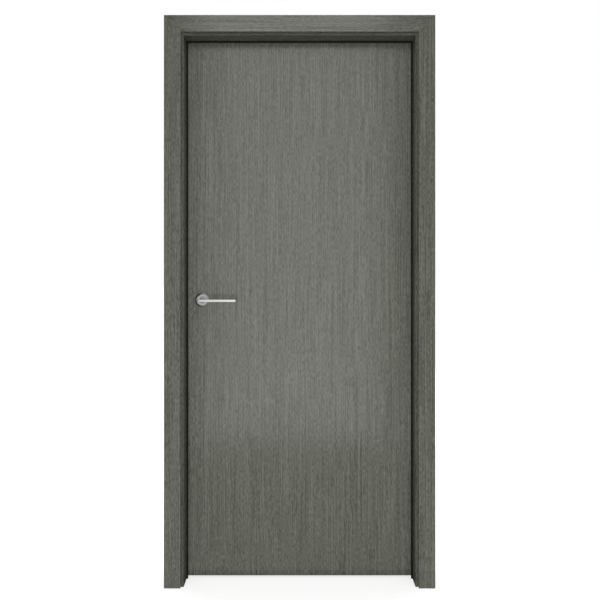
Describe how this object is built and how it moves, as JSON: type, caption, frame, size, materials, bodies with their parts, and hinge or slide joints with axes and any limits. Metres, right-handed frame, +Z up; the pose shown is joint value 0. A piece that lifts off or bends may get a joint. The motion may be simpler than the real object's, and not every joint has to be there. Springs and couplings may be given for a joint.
{
  "type": "flush interior door",
  "caption": "Hinged flush door in a rebated frame with flat mitred casings on both faces, butt hinges, black seals and slim lever handles on round roses.",
  "frame": {"origin": "on the wall face of the hinge jamb, at floor level and half way through the wall", "axes": "+X from the hinge jamb into the wall, +Y from the push side to the pull side, +Z up"},
  "size_m": [1.01, 0.1655, 2.085],
  "materials": {
    "veneer": "matte",
    "core_timber": "sawn",
    "seal_rubber": "matte",
    "hinge_steel": "satin",
    "latch_steel": "satin",
    "handle_metal": "satin"
  },
  "bodies": {
    "frame": {"hinge_jamb": "veneer", "latch_jamb": "veneer", "head_jamb": "veneer", "front_hinge_casing": "veneer", "front_latch_casing": "veneer", "front_head_casing": "veneer", "back_hinge_casing": "veneer", "back_latch_casing": "veneer", "back_head_casing": "veneer", "hinge_seal": "seal_rubber", "latch_seal": "seal_rubber", "head_seal": "seal_rubber", "strike_plate": "latch_steel", "top_hinge_jamb_flap": "hinge_steel", "middle_hinge_jamb_flap": "hinge_steel", "bottom_hinge_jamb_flap": "hinge_steel", "top_hinge_pin": "hinge_steel", "middle_hinge_pin": "hinge_steel", "bottom_hinge_pin": "hinge_steel"},
    "leaf": {"front_face_board": "veneer", "back_face_board": "veneer", "hinge_stile": "core_timber", "lock_stile": "core_timber", "top_rail": "core_timber", "bottom_rail": "core_timber", "lock_block": "core_timber", "hinge_edge_lipping": "veneer", "lock_edge_lipping": "veneer", "latch_case": "latch_steel", "latch_bolt": "latch_steel", "top_hinge_leaf_flap": "hinge_steel", "middle_hinge_leaf_flap": "hinge_steel", "bottom_hinge_leaf_flap": "hinge_steel", "front_rose": "handle_metal", "back_rose": "handle_metal"},
    "handle": {"front_lever": "handle_metal", "back_lever": "handle_metal", "handle_spindle": "latch_steel"}
  },
  "joints": [
    {"name": "leaf_swing", "type": "hinge", "parent": "frame", "child": "leaf", "pos_m": [-0.0275, 0.056, 0], "axis": [0, 0, -1], "range_deg": [0, 100]},
    {"name": "lever_turn", "type": "hinge", "parent": "leaf", "child": "handle", "pos_m": [-0.823, 0.03, 1.037], "axis": [0, 1, 0], "range_deg": [0, 40], "stiffness_Nm_per_rad": 1.2, "springref_deg": -34.38}
  ]
}
